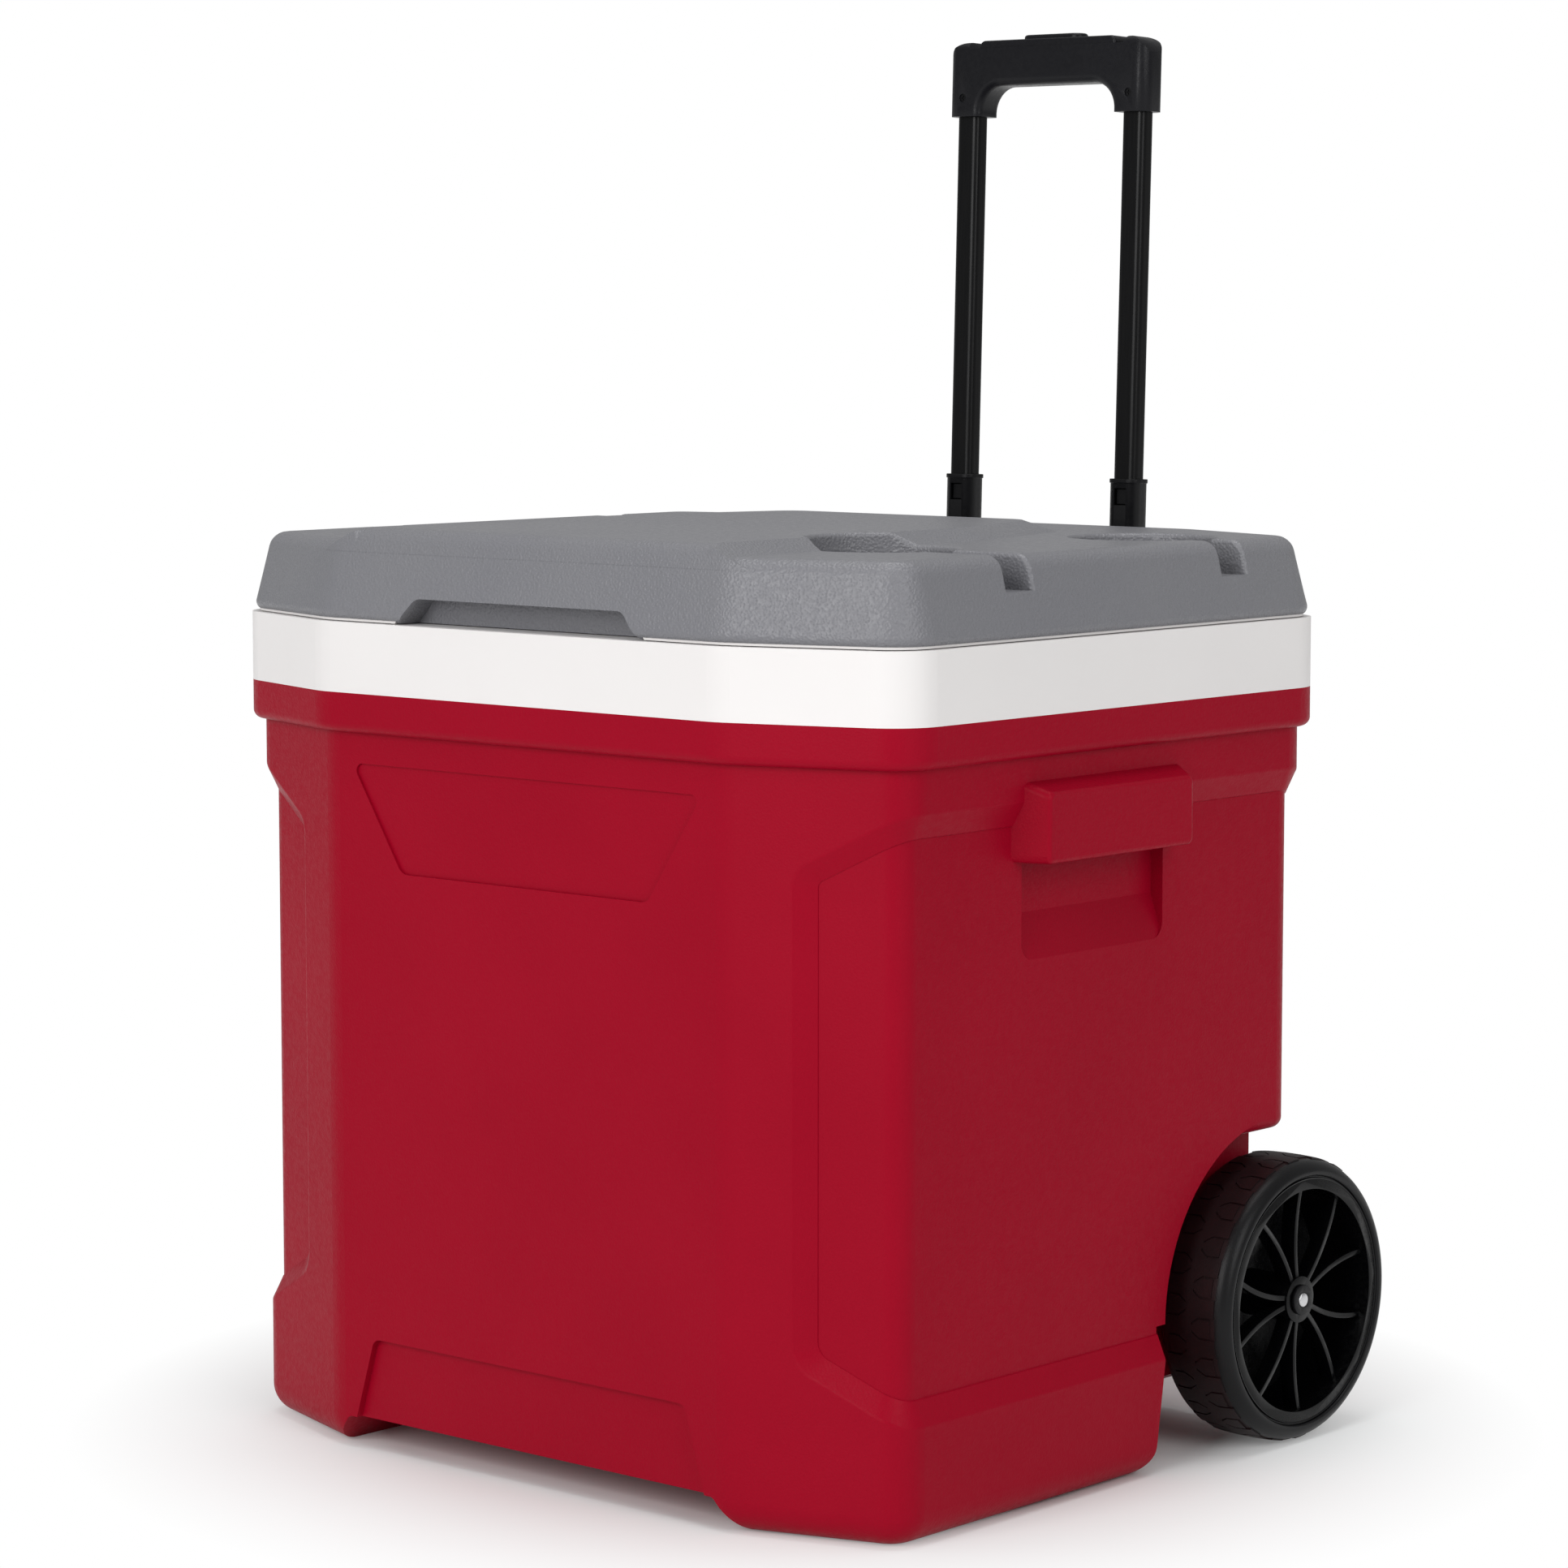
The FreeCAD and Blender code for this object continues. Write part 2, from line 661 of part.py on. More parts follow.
# ---- lid ------------------------------------------------------------------------------------------
def lid_form(inset, low_z, shelf_drop):
    """The lid's outside, or with an inset and a drop the hollow inside it."""
    shelf_z = lid_shelf_z - shelf_drop
    top_z = lid_panel_z - shelf_drop
    low_inset = lid_low_inset + inset + lid_slope * (low_z - lid_low_z)
    shelf_inset = lid_low_inset + inset + lid_slope * (shelf_z - lid_low_z)
    top_inset = lid_low_inset + inset + lid_slope * (top_z - lid_low_z)
    wings = plan_loft(low_inset, low_z, shelf_inset, shelf_z)
    middle = plan_loft(low_inset, low_z, top_inset, top_z)
    panel = []
    rise = lid_panel_z - lid_shelf_z
    for z, spread in ((shelf_z - rise, 2.0 * panel_slope), (top_z + rise, -panel_slope)):
        grow = spread - inset
        half = (
            (panel_front_half_width + grow, -rim_half_depth),
            (panel_bend_half_width + grow, panel_bend_y),
            (panel_rear_half_width + grow, panel_rear_y + grow),
        )
        other = [(-x, y) for x, y in reversed(half)]
        corners = [Vector(x, y, z) for x, y in list(half) + other]
        rounds = (sharp, panel_bend_round, panel_rear_round)
        panel.append(rounded_wire(corners, rounds + rounds[::-1]))
    middle = middle.common(Part.makeLoft(panel, True, True))
    return wings, middle


def lid_outside():
    wings, middle = lid_form(0, lid_low_z, 0)
    wings = wings.makeFillet(lid_top_round, edges_where(wings, lambda b, e: b.ZMin > lid_shelf_z - 0.1))
    front = lambda b, e: b.ZMin > lid_panel_z - 0.1 and b.YMax < -wall_y + corner_run_y
    middle = middle.makeFillet(lid_top_round, edges_where(middle, front))
    outside = joined(wings, middle)
    low_edge = edges_where(outside, lambda b, e: b.ZMax < lid_low_z + 0.1)
    return outside.makeFillet(lid_low_round, low_edge)


def cup_cut(place, extra):
    x, y = place
    half = cup_notch_width / 2.0 + extra
    floor_z = cup_floor_z - extra
    cup = rod(Vector(x, y, floor_z), Vector(x, y, far * 2.0), cup_radius + extra)
    notch = box(x, far, y - half, y + half, floor_z, far * 2.0)
    return cup.fuse(notch)


def pull_cut(extra):
    """The finger recess under the lid's front edge."""
    low = pull_low_half_width + extra
    high = pull_high_half_width + extra
    top = lid_low_z + pull_height + extra
    points = ((-low, lid_low_z - 1.0), (low, lid_low_z - 1.0), (high, top), (-high, top))
    back_y = pull_depth + extra - rim_half_depth
    return front_slab(points, (sharp, sharp, pull_round, pull_round), -far, back_y)


def hinge_cut(extra):
    half = hinge_half_width + hinge_play / 2.0 + extra
    front_y = hinge_y - hinge_knuckle - hinge_play - extra
    top = hinge_z + hinge_knuckle + hinge_play + extra
    return box(hinge_x - half, hinge_x + half, front_y, far, lid_low_z - 1.0, top)


def hinge_lug():
    """The lid's own knuckle in each hinge pocket."""
    root_y = hinge_y - hinge_knuckle - hinge_play - 1.0
    x0 = hinge_x - lug_half_width
    x1 = hinge_x + lug_half_width
    lug = box(x0, x1, root_y, hinge_y, hinge_z - hinge_knuckle, hinge_z + hinge_knuckle)
    lug = joined(lug, rod(Vector(x0, hinge_y, hinge_z), Vector(x1, hinge_y, hinge_z), hinge_knuckle))
    bore = hinge_pin_radius + running_gap
    return lug.cut(rod(Vector(x0 - 1.0, hinge_y, hinge_z), Vector(x1 + 1.0, hinge_y, hinge_z), bore))


def lid_cuts(extra):
    cuts = [pull_cut(extra)] + pair(hinge_cut(extra))
    for place in (front_cup, rear_cup):
        cuts += pair(cup_cut(place, extra))
    return cuts


def lid_hollow(extra):
    hollow = joined(*lid_form(extra, lid_low_z - 1.0, extra))
    return hollow.cut(lid_cuts(extra))


def cup_rim(place):
    """Tells whether an edge is the upper edge of this cup or of its notch."""
    half = cup_notch_width / 2.0

    def on_rim(bounds, edge):
        if bounds.ZMax < cup_floor_z + 2.0 * cup_rim_round:
            return False
        for point in edge.discretize(5):
            across = abs(point.x) - place[0]
            along = point.y - place[1]
            round_edge = abs(math.hypot(across, along) - cup_radius) < 0.01
            straight_edge = abs(abs(along) - half) < 0.01 and across > 0
            if point.z < cup_floor_z + 1.0 or not (round_edge or straight_edge):
                return False
        return True

    return on_rim


def lid_shell():
    shell = lid_outside().cut(lid_cuts(0))
    for place in (front_cup, rear_cup):
        shell = shell.makeFillet(cup_rim_round, edges_where(shell, cup_rim(place)))
    shell = shell.cut(lid_hollow(skin))
    return joined(shell, *pair(hinge_lug()))


def lid_liner():
    """The white pan that closes the lid and plugs the chest."""
    inset = lid_low_inset + skin + foam_gap + lid_slope * skin
    plug_z = band_high_z - plug_depth
    plate = plan_prism(inset, lid_low_z, lid_low_z + skin)
    for cut in [pull_cut(skin + foam_gap)] + pair(hinge_cut(skin + foam_gap)):
        plate = plate.cut(cut)
    pan = plan_prism(plug_inset, plug_z, lid_low_z + skin)
    inside = plan_prism(plug_inset + skin, plug_z + skin, lid_low_z + skin + 1.0)
    return joined(plate, pan).cut(inside)


def lid_foam():
    gap = skin + foam_gap
    foam = lid_hollow(gap).common(box(-far, far, -far, far, lid_low_z + gap, far * 2.0))
    low = plan_prism(plug_inset + gap, band_high_z - plug_depth + gap, lid_low_z + gap)
    return joined(foam, low)


# ---- hinge brackets and pins ---------------------------------------------------------------------
def hinge_bracket():
    """A plate on the rim's rear with two ears that rise into the lid's pocket."""
    plate_y = rim_half_depth
    back_y = plate_y + hinge_plate_wall
    x0 = hinge_x - hinge_half_width
    x1 = hinge_x + hinge_half_width
    plate = box(x0, x1, plate_y, back_y, hinge_plate_low_z, hinge_plate_high_z)
    plate = plate.makeFillet(hinge_plate_round, edges_where(plate, lambda b, e: b.YMin > back_y - 0.1))
    root_z = hinge_plate_high_z - hinge_arm_root
    ears = []
    for a, b in ((x0, hinge_x - lug_half_width - face_gap), (hinge_x + lug_half_width + face_gap, x1)):
        points = (
            (plate_y, root_z),
            (back_y, root_z),
            (hinge_y + hinge_knuckle, hinge_z),
            (hinge_y - hinge_knuckle, hinge_z),
        )
        arm = side_slab(points, (sharp,) * 4, a, b)
        arm = arm.cut(box(a - 1, b + 1, -far, plate_y, 0, band_high_z + lid_gap))
        knuckle = rod(Vector(a, hinge_y, hinge_z), Vector(b, hinge_y, hinge_z), hinge_knuckle)
        ears.append(joined(arm, knuckle))
    bracket = joined(plate, *ears)
    line = (Vector(x0 - 1, hinge_y, hinge_z), Vector(x1 + 1, hinge_y, hinge_z))
    bracket = bracket.cut(rod(line[0], line[1], hinge_pin_radius))
    for place in hinge_screw_places():
        bracket = bracket.cut(rod(place, place + Vector(0, far, 0), screw_shank))
    return bracket


def hinge_screw_places():
    z = (hinge_plate_low_z + hinge_plate_high_z) / 2.0 - hinge_screw_drop
    half = hinge_screw_spacing / 2.0
    return [Vector(hinge_x + side * half, rim_half_depth, z) for side in (-1, 1)]


def hinge_pin():
    x0 = hinge_x - hinge_half_width
    x1 = hinge_x + hinge_half_width
    end = Vector(x1 + hinge_pin_head_wall, hinge_y, hinge_z)
    pin = rod(Vector(x0, hinge_y, hinge_z), end, hinge_pin_radius)
    return joined(pin, rod(Vector(x1, hinge_y, hinge_z), end, hinge_pin_head))


def screw(place, wall):
    """A pan-head screw driven forward, whose head lies on a wall this thick."""
    direction = Vector(0, -1, 0)
    seat = place - direction * wall
    top = seat - direction * screw_crown
    head = rod(top, seat, screw_head)
    head = head.makeFillet(screw_round, edges_where(head, lambda b, e: (e.CenterOfMass - seat).Length > 1.5))
    corner = top - Vector(screw_slot / 2.0, screw_slot_depth, screw_head)
    slot = Part.makeBox(screw_slot, 2.0 * screw_slot_depth, 2.0 * screw_head, corner)
    return joined(head, rod(seat, seat + direction * (wall + screw_tip), screw_shank)).cut(slot)


# ---- wheels ---------------------------------------------------------------------------------------
def ring(x0, x1, outer, inner):
    a = Vector(x0, axle_y, wheel_radius)
    b = Vector(x1, axle_y, wheel_radius)
    grow = Vector(1, 0, 0)
    return rod(a, b, outer).cut(rod(a - grow, b + grow, inner))


wheel_inner_x = wheel_outer_x - wheel_width
rim_radius = wheel_radius - tyre_height


def tyre():
    body = ring(wheel_inner_x, wheel_outer_x, wheel_radius, rim_radius)
    top = wheel_radius + wheel_radius
    shoulders = edges_where(body, lambda b, e: b.ZMax > top - 0.1 and b.XLength < 0.1)
    return body.makeFillet(tyre_shoulder, shoulders)


def spoke(turn, lean_turn):
    """One slim curved bar from the hub to the rim; turn and lean_turn are degrees."""
    start = hub_radius - 1.5
    end = rim_radius - rim_wall + 1.0
    points = []
    for share in (0.0, 0.5, 1.0):
        reach = start + (end - start) * share
        angle = math.radians(turn + lean_turn * share ** spoke_bend)
        points.append(Vector(0, reach * math.sin(angle), reach * math.cos(angle)))
    arc = Part.Arc(*points).toShape()
    normal = (points[2] - points[0]).cross(Vector(1, 0, 0)).normalize()
    side = normal * (spoke_wall / 2.0)
    near = arc.copy()
    near.translate(side)
    away = arc.copy()
    away.translate(side * -1.0)
    edges = [near, Part.LineSegment(points[2] + side, points[2] - side).toShape()]
    edges += [away, Part.LineSegment(points[0] - side, points[0] + side).toShape()]
    face = Part.Face(Part.Wire(Part.__sortEdges__(edges)))
    bar = face.extrude(Vector(spoke_depth, 0, 0))
    bar.translate(Vector(hub_outer_x - spoke_depth - spoke_sink, axle_y, wheel_radius))
    return bar


def wheel_rim():
    bore = axle_radius + running_gap
    hub_inner_x = wheel_inner_x + hub_inset
    web_x = wheel_inner_x + web_inset
    parts = [
        ring(hub_inner_x, wheel_outer_x - rim_edge_inset, rim_radius, rim_radius - rim_wall),
        ring(hub_inner_x, hub_outer_x, hub_radius, bore),
        ring(web_x, web_x + web_wall, rim_radius - 1.0, bore),
    ]
    for i in range(spoke_pairs):
        middle = spoke_phase + 360.0 * i / spoke_pairs
        parts.append(spoke(middle + spoke_root, spoke_spread))
        parts.append(spoke(middle - spoke_root, -spoke_spread))
    return joined(*parts)


def axle_bush():
    x0 = arch_wall_x - bush_length
    face = Vector(arch_wall_x, axle_y, wheel_radius)
    barrel = rod(Vector(x0, axle_y, wheel_radius), face, bush_radius)
    flange = rod(face, Vector(wheel_inner_x + hub_inset - face_gap, axle_y, wheel_radius), bush_flange)
    bore = rod(Vector(0, axle_y, wheel_radius), Vector(far, axle_y, wheel_radius), axle_radius)
    return joined(barrel, flange).cut(bore)


def axle_retainer():
    x0 = hub_outer_x + face_gap
    return ring(x0, x0 + retainer_wall, retainer_radius, axle_radius)


# ---- tow handle -----------------------------------------------------------------------------------
def grown(size, corner, gap):
    return (size[0] + 2 * gap, size[1] + 2 * gap, corner + gap)


def tube(section, wall, z0, z1):
    width, depth, corner = section
    outer = block(width, depth, corner, z0, z1)
    return outer.cut(block(width - 2 * wall, depth - 2 * wall, corner - wall, z0 - 1, z1 + 1))


upper_section = grown(upper_tube, tube_corner, 0)
middle_bore = grown(upper_tube, tube_corner, slide_gap)
middle_section = grown(upper_tube, tube_corner, slide_gap + middle_wall)
sleeve_section = grown(upper_tube, tube_corner, 2 * slide_gap + middle_wall + sleeve_wall)
collar_section = grown(upper_tube, tube_corner, slide_gap + middle_wall + collar_wall)
middle_low = upper_tube_low - upper_travel - end_play - end_plug
sleeve_high = collar_low - middle_travel
sleeve_low = middle_low - middle_travel - end_play - end_plug
upper_tube_high = grip_low + grip_socket_depth
screw_reach = rod_back - rod_radius - 2.0
grip_bar_floor = grip_bar_low + grip_floor_wall
yoke_low = grip_bar_floor + button_travel + 1.0


def window(depth_out):
    low = window_low - 0.5
    half = window_width / 2.0
    return box(-half, half, -far, -depth_out, low, low + window_height)


def upper_post_tube():
    post = tube(upper_section, upper_wall, upper_tube_low, upper_tube_high).cut(window(window_skin))
    screw_z = grip_low + grip_screw_rise
    hole = rod(Vector(0, -far, screw_z), Vector(0, 0, screw_z), grip_screw_shank)
    return post.cut(hole)


def middle_post_tube():
    return tube(middle_section, middle_wall, middle_low, collar_high - lip_height).cut(window(window_skin))


def collar():
    """The moulded cap on the middle tube, with a lip round the upper tube and a lock window."""
    width, depth, corner = collar_section
    cap = block(width, depth, corner, collar_low, collar_high - lip_height)
    lip_section = (width + 2 * lip_reach, depth + 2 * lip_reach, corner + lip_reach)
    lip = block(*lip_section, collar_high - lip_height, collar_high)
    lip = lip.makeFillet(lip_round, edges_where(lip, lambda b, e: b.ZLength < 0.1))
    cap = joined(cap, lip)
    cap = cap.cut(block(*middle_section, collar_low - 1.0, collar_high - lip_height))
    return cap.cut(block(*middle_bore, collar_low, collar_high + 1.0)).cut(window(window_skin))


def tube_foot(section, wall, low):
    width, depth, corner = section
    return block(width - 2 * wall, depth - 2 * wall, corner - wall, low, low + end_plug)


def upper_foot():
    """Guides the upper tube and carries its lock tongue."""
    width, depth, corner = upper_section
    wall = upper_wall
    high = window_low - face_gap
    return block(width - 2 * wall, depth - 2 * wall, corner - wall, upper_tube_low, high)


def lock_tongue():
    front = upper_tube[1] / 2.0 + 0.05
    half = window_width / 2.0 - face_gap
    high = window_low - 0.5 + window_height - face_gap
    piece = box(-half, half, -front, tongue_thickness - front, window_low, high)
    return piece.makeFillet(lip_round, edges_where(piece, lambda b, e: b.YMax < 0.1 - front))


def push_rod():
    low = window_low + window_height + 2.0
    a = Vector(0, rod_back, low)
    return rod(a, Vector(0, rod_back, yoke_low), rod_radius)


def grip_profile():
    """Half the grip in the front view, about the cooler's middle."""
    w = grip_half_width
    inner = w - grip_leg_width
    t = grip_throat_round
    s = grip_shoulder_round
    notch_in = cover_half_length + face_gap
    notch_out = notch_in + notch_width
    diagonal = math.sqrt(0.5)
    throat = Vector(inner - t * (1 - diagonal), 0, grip_bar_low - t * (1 - diagonal))
    shoulder = Vector(w - s * (1 - diagonal), 0, grip_top - s * (1 - diagonal))
    points = [
        Vector(inner, 0, grip_low),
        Vector(w, 0, grip_low),
        Vector(w, 0, grip_top - s),
        shoulder,
        Vector(w - s, 0, grip_top),
        Vector(notch_out + notch_slope, 0, grip_top),
        Vector(notch_out, 0, grip_seat),
        Vector(-notch_out, 0, grip_seat),
        Vector(-notch_out - notch_slope, 0, grip_top),
        Vector(s - w, 0, grip_top),
        Vector(-shoulder.x, 0, shoulder.z),
        Vector(-w, 0, grip_top - s),
        Vector(-w, 0, grip_low),
        Vector(-inner, 0, grip_low),
        Vector(-inner, 0, grip_bar_low - t),
        Vector(-throat.x, 0, throat.z),
        Vector(t - inner, 0, grip_bar_low),
        Vector(inner - t, 0, grip_bar_low),
        throat,
        Vector(inner, 0, grip_bar_low - t),
    ]
    arcs = {2: 3, 9: 10, 14: 15, 17: 18}
    edges = []
    i = 0
    while i < len(points):
        ahead = points[(i + 1) % len(points)]
        if i in arcs:
            edges.append(Part.Arc(points[i], ahead, points[i + 2]).toShape())
            i += 2
        else:
            edges.append(Part.LineSegment(points[i], ahead).toShape())
            i += 1
    return Part.Wire(edges)


def grip_shell():
    half = grip_depth / 2.0
    shape = Part.Face(grip_profile()).extrude(Vector(0, grip_depth, 0))
    shape.translate(Vector(0, -half, 0))

    def under_edge(bounds, edge):
        on_face = abs(abs(edge.CenterOfMass.y) - half) < 0.01 and bounds.YLength < 0.1
        inner = grip_half_width - grip_leg_width + 0.1
        within = bounds.XMin > -inner and bounds.XMax < inner
        return on_face and within and grip_low + 0.1 < bounds.ZMax < grip_bar_low + 0.1

    shape = shape.makeFillet(grip_round, edges_where(shape, under_edge))
    shape = shape.common(block(2 * grip_half_width, grip_depth, grip_leg_round, grip_low - 1, grip_top + 1))
    across = ((-half, grip_low - 1), (half, grip_low - 1), (half, grip_top), (-half, grip_top))
    shape = shape.common(side_slab(across, (sharp, sharp, grip_round, grip_round), -far, far))
    channel_half = post_x + yoke_reach + 1.0
    deep = yoke_depth / 2 + 1
    channel = box(-channel_half, channel_half, -deep, deep, grip_bar_floor, grip_seat - grip_roof_wall)
    mouth_half = cover_half_length - notch_width
    mouth = box(-mouth_half, mouth_half, -deep, deep, grip_bar_floor, grip_seat + 1)
    pocket = button_prism(face_gap, grip_seat - button_travel - 1.0, grip_seat + 1.0)
    shape = shape.cut([channel, mouth, pocket])
    for side in (-1, 1):
        socket = block(*upper_section, grip_low - 1, upper_tube_high)
        socket.translate(Vector(side * post_x, 0, 0))
        low = Vector(side * post_x, rod_back, grip_low)
        hole = rod(low, Vector(low.x, low.y, yoke_low), rod_radius + 1)
        screw_hole = grip_screw(side)[0]
        shape = shape.cut([socket, hole, screw_hole])
    return shape


def grip_screw(side):
    """A small countersunk screw through each leg's front into the tube, and the room it needs."""
    face = Vector(side * post_x, -grip_depth / 2.0, grip_low + grip_screw_rise)
    seat = face + Vector(0, grip_screw_sink + grip_screw_crown, 0)
    tip = Vector(face.x, screw_reach, face.z)
    room = joined(rod(face - Vector(0, 1, 0), seat, grip_screw_head + 0.1), rod(seat, tip, grip_screw_shank))
    head = rod(face + Vector(0, grip_screw_sink, 0), seat, grip_screw_head)
    cross = []
    for wide, high in ((cross_width, cross_length), (cross_length, cross_width)):
        corner = face - Vector(wide / 2.0, 0, high / 2.0)
        cross.append(Part.makeBox(wide, grip_screw_crown, high, corner))
    return room, joined(head, rod(seat, tip, grip_screw_shank)).cut(cross)


def grip_cover():
    """The raised top of the bar between the shoulders, with the button's opening."""
    x = cover_half_length
    half = grip_depth / 2.0 - 1.0
    top = grip_top + cover_rise
    cover = box(-x, x, -half, half, grip_seat, top)
    ends = edges_where(cover, lambda b, e: b.ZMin > top - 0.1 and b.XLength < 0.1)
    cover = cover.makeFillet(cover_end_round, ends)
    outline = edges_where(cover, lambda b, e: b.YLength < 0.1 and b.ZMax > grip_seat + 0.1)
    cover = cover.makeFillet(cover_round, outline)
    return cover.cut(button_prism(face_gap, grip_seat - 1, grip_top + 5))


def button_prism(gap, z0, z1):
    depth = button_depth + 2 * gap
    return block(2 * (button_half_length + gap), depth, depth / 2.0 - sharp, z0, z1)


def release_button():
    """The oval thumb button and the stem that meets the yoke."""
    top = grip_top + cover_rise + button_proud
    cap = button_prism(0, grip_seat - 0.5, top)
    cap = cap.makeFillet(button_round, edges_where(cap, lambda b, e: b.ZMin > top - 0.1))
    deep = yoke_depth / 2 - 1
    stem = box(-stem_half, stem_half, -deep, deep, yoke_low + yoke_height, grip_seat)
    return joined(cap, stem)


def yoke():
    """Carries the button's push across to both rods."""
    half = post_x + yoke_reach
    return box(-half, half, -yoke_depth / 2, yoke_depth / 2, yoke_low, yoke_low + yoke_height)


def button_spring():
    """A folded bellows spring between the bar's floor and the yoke."""
    low = grip_bar_floor + spring_play
    step = (yoke_low - spring_play - low) / (2 * spring_folds)
    outer = []
    for i in range(2 * spring_folds + 1):
        radius = spring_radius - spring_fold_depth * (i % 2)
        outer.append(Vector(radius, 0, low + i * step))
    inner = [point - Vector(spring_wall, 0, 0) for point in reversed(outer)]
    profile = Part.Face(Part.makePolygon(outer + inner + outer[:1]))
    return profile.revolve(Vector(0, 0, 0), Vector(0, 0, 1), 360)


def sleeve_bracket(low):
    """Drawn upright, it clamps both leaned sleeves to the rear wall."""
    width, depth, corner = sleeve_section
    reach = post_x + bracket_margin
    back = post_y - (post_z - low - bracket_height / 2) * math.tan(lean) + depth / 2 + bracket_wall
    plate = box(-reach, reach, wall_y, wall_y + bracket_wall, low, low + bracket_height)
    plate = plate.makeFillet(bracket_round, edges_where(plate, lambda b, e: b.YLength > bracket_wall - 0.1))
    half = width / 2 + bracket_wall
    parts = [plate]
    for x in (-post_x, post_x):
        boss = box(x - half, x + half, wall_y, back, low, low + bracket_height)
        corners = edges_where(boss, lambda b, e: b.ZLength > bracket_round and b.YMin > back - 0.1)
        parts.append(boss.makeFillet(bracket_round - 1, corners))
    mid_z = low + bracket_height / 2
    rib_y = wall_y + bracket_rib_depth
    parts.append(box(-post_x, post_x, wall_y, rib_y, mid_z - bracket_rib_half, mid_z + bracket_rib_half))
    bracket = joined(*parts)
    for side in (-1, 1):
        bracket = bracket.cut(on_post(block(*sleeve_section, -far * 1.2, far), side))
    for place in bracket_screw_places(low):
        bracket = bracket.cut(rod(place, place + Vector(0, far, 0), screw_shank))
    return bracket


def bracket_screw_places(low):
    places = []
    for x in (-bracket_screw_x, bracket_screw_x):
        for z in (bracket_screw_edge, bracket_height - bracket_screw_edge):
            places.append(Vector(x, wall_y, low + z))
    return places


# ---- drain ------------------------------------------------------------------------------------------
def drain_line(y0, y1, radius):
    return rod(Vector(drain_x, y0, drain_z), Vector(drain_x, y1, drain_z), radius)


def drain_spout():
    flange = drain_line(tail_y, drain_lip_y, drain_flange)
    lip = edges_where(flange, lambda b, e: b.YMin > drain_lip_y - 0.1 and b.XLength > 1)
    flange = flange.makeFillet(drain_lip_round, lip)
    tube_part = drain_line(drain_inner_y - drain_nut_wall, tail_y, drain_tube)
    return joined(flange, tube_part).cut(drain_line(0, far, drain_bore))


def drain_nut():
    """Clamps the spout inside the chest; its lower side is cut level with the floor."""
    nut = drain_line(drain_inner_y - drain_nut_wall, drain_inner_y, drain_tube + drain_nut_rim)
    return nut.cut([drain_line(0, far, drain_tube), box(0, far, 0, far, 0, sump_floor_z + face_gap)])


def drain_plug():
    knob_y = drain_lip_y + face_gap
    stem = drain_line(knob_y - drain_stem, knob_y, drain_bore - face_gap)
    knob = drain_line(knob_y, knob_y + drain_knob, drain_flange - 1.0)
    lip = edges_where(knob, lambda b, e: b.YMin > knob_y + drain_knob - 0.1 and b.XLength > 1)
    knob = knob.makeFillet(drain_knob_round, lip)
    wing_y = knob_y + drain_knob_base
    for x0 in (drain_x - drain_flange, drain_x + drain_wing_half):
        knob = knob.cut(box(x0, x0 + drain_flange - drain_wing_half, wing_y, far, 0, far))
    return joined(stem, knob)


# ---- write every piece -------------------------------------------------------------------------------
def save_pair(node, shape):
    save(node + "_right", shape)
    save(node + "_left", mirrored(shape))


def save_post_pair(node, shape):
    save(node + "_right", on_post(shape, 1))
    save(node + "_left", on_post(shape, -1))


save("body_shell", body_shell())
save("body_liner", body_liner())
save("body_foam", body_foam())
save("lid_shell", lid_shell())
save("lid_liner", lid_liner())
save("lid_foam", lid_foam())
save_pair("hinge_bracket", hinge_bracket())
save_pair("hinge_pin", hinge_pin())
hinge_screws = [screw(place, hinge_plate_wall) for place in hinge_screw_places()]
save("hinge_screws", *hinge_screws, *[mirrored(s) for s in hinge_screws])

axle_line = (Vector(-axle_half_length, axle_y, wheel_radius), Vector(axle_half_length, axle_y, wheel_radius))
save("axle", rod(axle_line[0], axle_line[1], axle_radius))
save_pair("axle_bush", axle_bush())
save_pair("axle_retainer", axle_retainer())
save_pair("wheel_rim", wheel_rim())
save_pair("tyre", tyre())

save_post_pair("handle_sleeve", tube(sleeve_section, sleeve_wall, sleeve_low, sleeve_high))
save_post_pair("sleeve_foot", tube_foot(sleeve_section, sleeve_wall, sleeve_low))
save_post_pair("middle_tube", middle_post_tube())
save_post_pair("middle_foot", tube_foot(middle_section, middle_wall, middle_low))
save_post_pair("collar", collar())
save_post_pair("upper_tube", upper_post_tube())
save_post_pair("upper_foot", upper_foot())
save_post_pair("lock_tongue", lock_tongue())
save_post_pair("push_rod", push_rod())
save("grip_shell", on_post(grip_shell()))
save("grip_cover", on_post(grip_cover()))
save("grip_screws", *[on_post(grip_screw(side)[1]) for side in (-1, 1)])
save("release_button", on_post(release_button()))
save("release_yoke", on_post(yoke()))
save("button_spring", on_post(button_spring()))

save("upper_bracket", sleeve_bracket(upper_bracket_z))
save("lower_bracket", sleeve_bracket(lower_bracket_z))
places = bracket_screw_places(upper_bracket_z) + bracket_screw_places(lower_bracket_z)
save("bracket_screws", *[screw(place, bracket_wall) for place in places])

save("drain_spout", drain_spout())
save("drain_nut", drain_nut())
save("drain_plug", drain_plug())
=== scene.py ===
import json
import math
import bmesh
import bpy
from mathutils import Matrix, Vector


